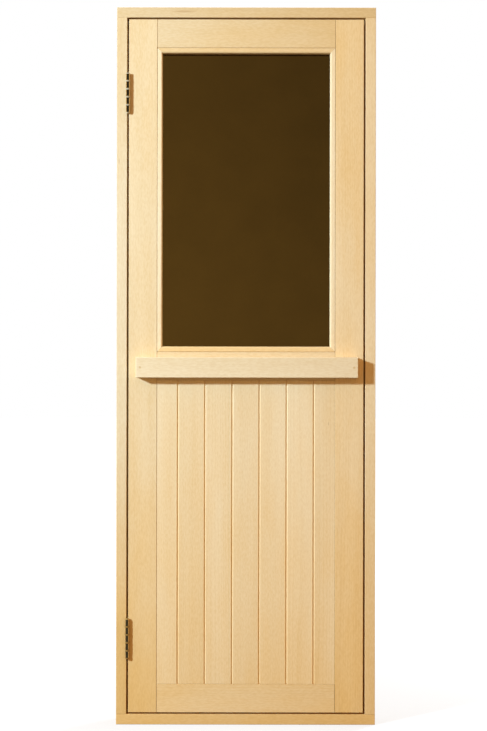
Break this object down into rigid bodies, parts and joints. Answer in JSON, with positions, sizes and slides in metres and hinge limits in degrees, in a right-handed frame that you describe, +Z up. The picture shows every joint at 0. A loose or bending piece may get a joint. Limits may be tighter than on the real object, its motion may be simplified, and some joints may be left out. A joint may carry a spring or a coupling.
{
  "type": "sauna door",
  "caption": "Narrow timber sauna door in a rebated frame: a leaf with a tinted window over upright boards and a wooden bar handle, swinging outward on brass butt hinges.",
  "frame": {"origin": "middle of the sill's underside, on the floor", "axes": "+X from the hinge side to the latch side as seen from outside, +Y through the wall from the outside face to the sauna side, +Z up"},
  "size_m": [0.686, 0.11, 1.9],
  "materials": {
    "frame_timber": "planed, bare",
    "leaf_timber": "planed, bare",
    "board_timber": "planed, bare",
    "bead_timber": "planed, bare",
    "bar_timber": "sanded, bare",
    "glass": "bronze tinted, polished",
    "brass": "satin"
  },
  "bodies": {
    "frame": {"head": "frame_timber", "sill": "frame_timber", "hinge_jamb": "frame_timber", "latch_jamb": "frame_timber", "lower_hinge_bearings": "brass", "lower_hinge_jamb_plate": "brass", "lower_hinge_pin": "brass", "upper_hinge_bearings": "brass", "upper_hinge_jamb_plate": "brass", "upper_hinge_pin": "brass"},
    "leaf": {"back_bead_bottom": "bead_timber", "back_bead_left": "bead_timber", "back_bead_right": "bead_timber", "back_bead_top": "bead_timber", "back_board_1": "board_timber", "back_board_2": "board_timber", "back_board_3": "board_timber", "back_board_4": "board_timber", "back_board_5": "board_timber", "back_board_6": "board_timber", "back_board_7": "board_timber", "bottom_rail": "leaf_timber", "core_panel": "board_timber", "front_bead_bottom": "bead_timber", "front_bead_left": "bead_timber", "front_bead_right": "bead_timber", "front_bead_top": "bead_timber", "front_board_1": "board_timber", "front_board_2": "board_timber", "front_board_3": "board_timber", "front_board_4": "board_timber", "front_board_5": "board_timber", "front_board_6": "board_timber", "front_board_7": "board_timber", "glass_pane": "glass", "handle_bar": "bar_timber", "hinge_stile": "leaf_timber", "inner_handle_bar": "bar_timber", "latch_stile": "leaf_timber", "lower_hinge_leaf_plate": "brass", "middle_rail": "leaf_timber", "top_rail": "leaf_timber", "upper_hinge_leaf_plate": "brass"}
  },
  "joints": [
    {"name": "leaf_swing", "type": "hinge", "parent": "frame", "child": "leaf", "pos_m": [-0.3135, -0.041, 0.95], "axis": [0, 0, -1], "range_deg": [0, 110]}
  ]
}
